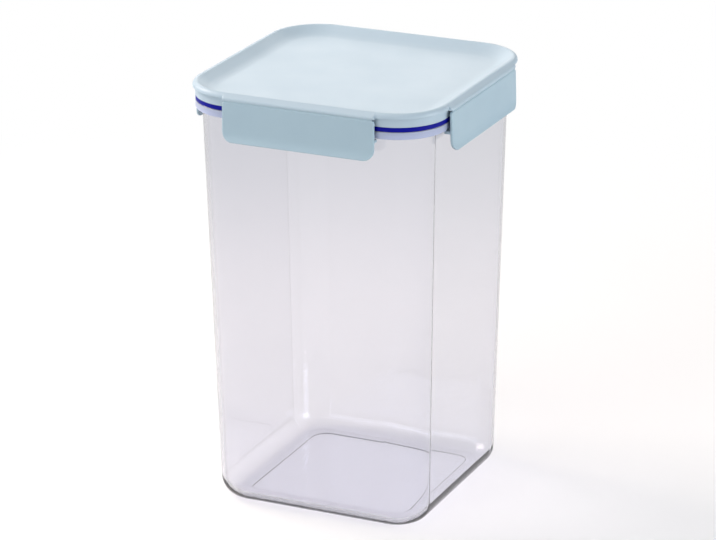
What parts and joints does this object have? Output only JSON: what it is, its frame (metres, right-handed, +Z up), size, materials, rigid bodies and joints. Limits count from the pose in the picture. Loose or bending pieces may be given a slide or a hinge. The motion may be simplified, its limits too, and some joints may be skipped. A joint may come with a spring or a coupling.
{
  "type": "food storage container",
  "caption": "Tall square clear food container with a tapering body, a dished pale blue lid, a dark sealing ring and a hinged locking clip on each side.",
  "frame": {"origin": "on the table under the middle of the base", "axes": "+Z up, -Y out of the front clip, +X out of the right clip"},
  "size_m": [0.167, 0.167, 0.262],
  "materials": {
    "clear_body": "clear, polished",
    "lid": "satin",
    "clip": "satin",
    "hinge": "satin",
    "gasket": "satin"
  },
  "bodies": {
    "container": {"container": "clear_body"},
    "lid": {"lid": "lid", "gasket": "gasket", "hinge_right": "hinge", "hinge_back": "hinge", "hinge_left": "hinge", "hinge_front": "hinge"},
    "clip_right": {"clip_right": "clip"},
    "clip_back": {"clip_back": "clip"},
    "clip_left": {"clip_left": "clip"},
    "clip_front": {"clip_front": "clip"}
  },
  "joints": [
    {"name": "lid_lift", "type": "slide", "parent": "container", "child": "lid", "axis": [0, 0, 1], "range_m": [0, 0.15]},
    {"name": "clip_right_hinge", "type": "hinge", "parent": "lid", "child": "clip_right", "pos_m": [0.08135, 0, 0.2578], "axis": [0, -1, 0], "range_deg": [0, 110], "deforming": ["hinge_right"]},
    {"name": "clip_back_hinge", "type": "hinge", "parent": "lid", "child": "clip_back", "pos_m": [0, 0.08135, 0.2578], "axis": [1, 0, 0], "range_deg": [0, 110], "deforming": ["hinge_back"]},
    {"name": "clip_left_hinge", "type": "hinge", "parent": "lid", "child": "clip_left", "pos_m": [-0.08135, 0, 0.2578], "axis": [0, 1, 0], "range_deg": [0, 110], "deforming": ["hinge_left"]},
    {"name": "clip_front_hinge", "type": "hinge", "parent": "lid", "child": "clip_front", "pos_m": [0, -0.08135, 0.2578], "axis": [-1, 0, 0], "range_deg": [0, 110], "deforming": ["hinge_front"]}
  ]
}
